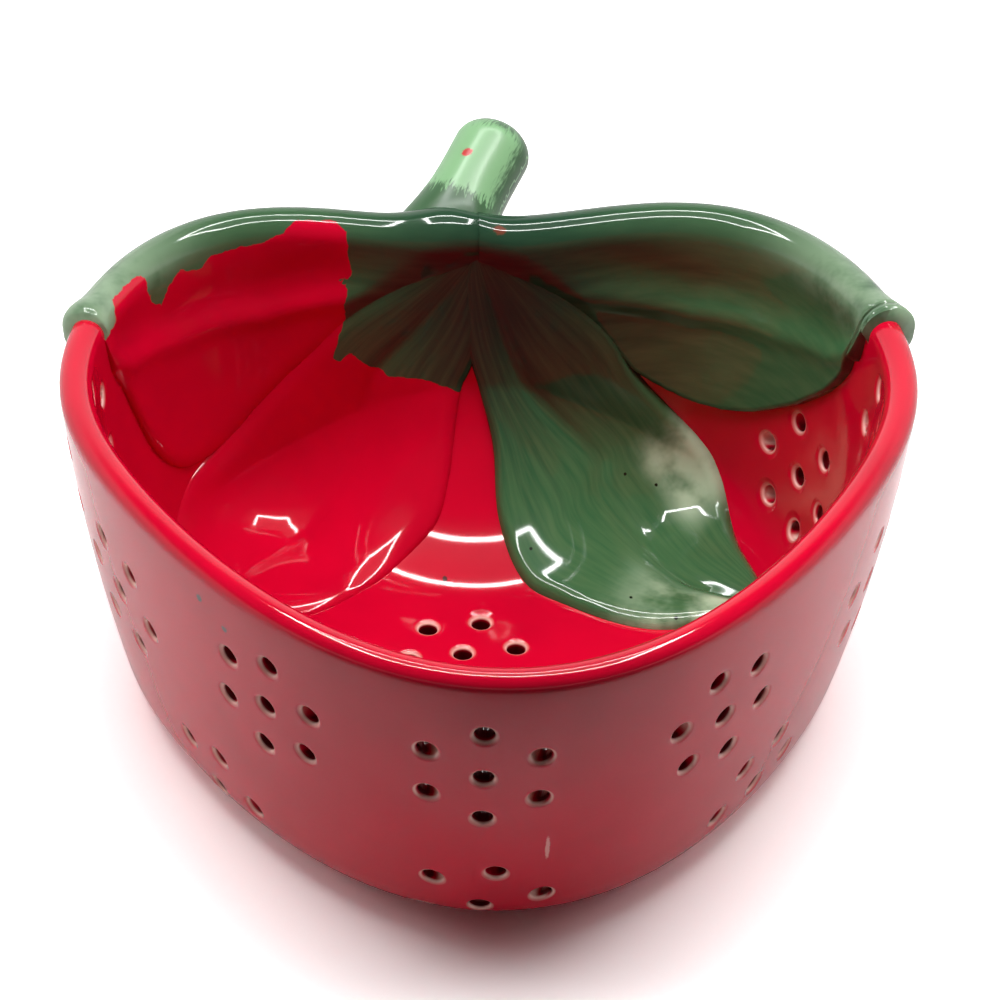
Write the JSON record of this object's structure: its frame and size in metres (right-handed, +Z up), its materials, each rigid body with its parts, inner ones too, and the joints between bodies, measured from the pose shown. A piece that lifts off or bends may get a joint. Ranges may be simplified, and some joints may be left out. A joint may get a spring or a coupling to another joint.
{
  "type": "berry colander bowl",
  "caption": "Strawberry-shaped glazed ceramic colander bowl: pierced red wall and floor, leaves laid over the inside and back rim, green stem at the back, recessed foot ring.",
  "frame": {"origin": "on the table, under the middle of the bounding box of the whole bowl with its stem", "axes": "+Z up, +Y towards the back where the stem is, -Y towards the nose of the berry, +X to the right seen from the nose"},
  "size_m": [0.1724, 0.1817, 0.0917],
  "materials": {
    "red_glaze": "glossy transparent red glaze, paler where it thins on edges and hole mouths",
    "green_glaze": "glossy brushed green glaze, darker where it pools",
    "bare_clay": "unglazed buff earthenware, wiped clean for firing"
  },
  "bodies": {
    "root": {"bowl_shell": "red_glaze", "foot_ring": "bare_clay", "stem": "green_glaze", "leaf_upper_right": "green_glaze", "leaf_upper_left": "green_glaze", "leaf_lower_right": "green_glaze", "leaf_lower_left": "red_glaze"}
  },
  "joints": []
}
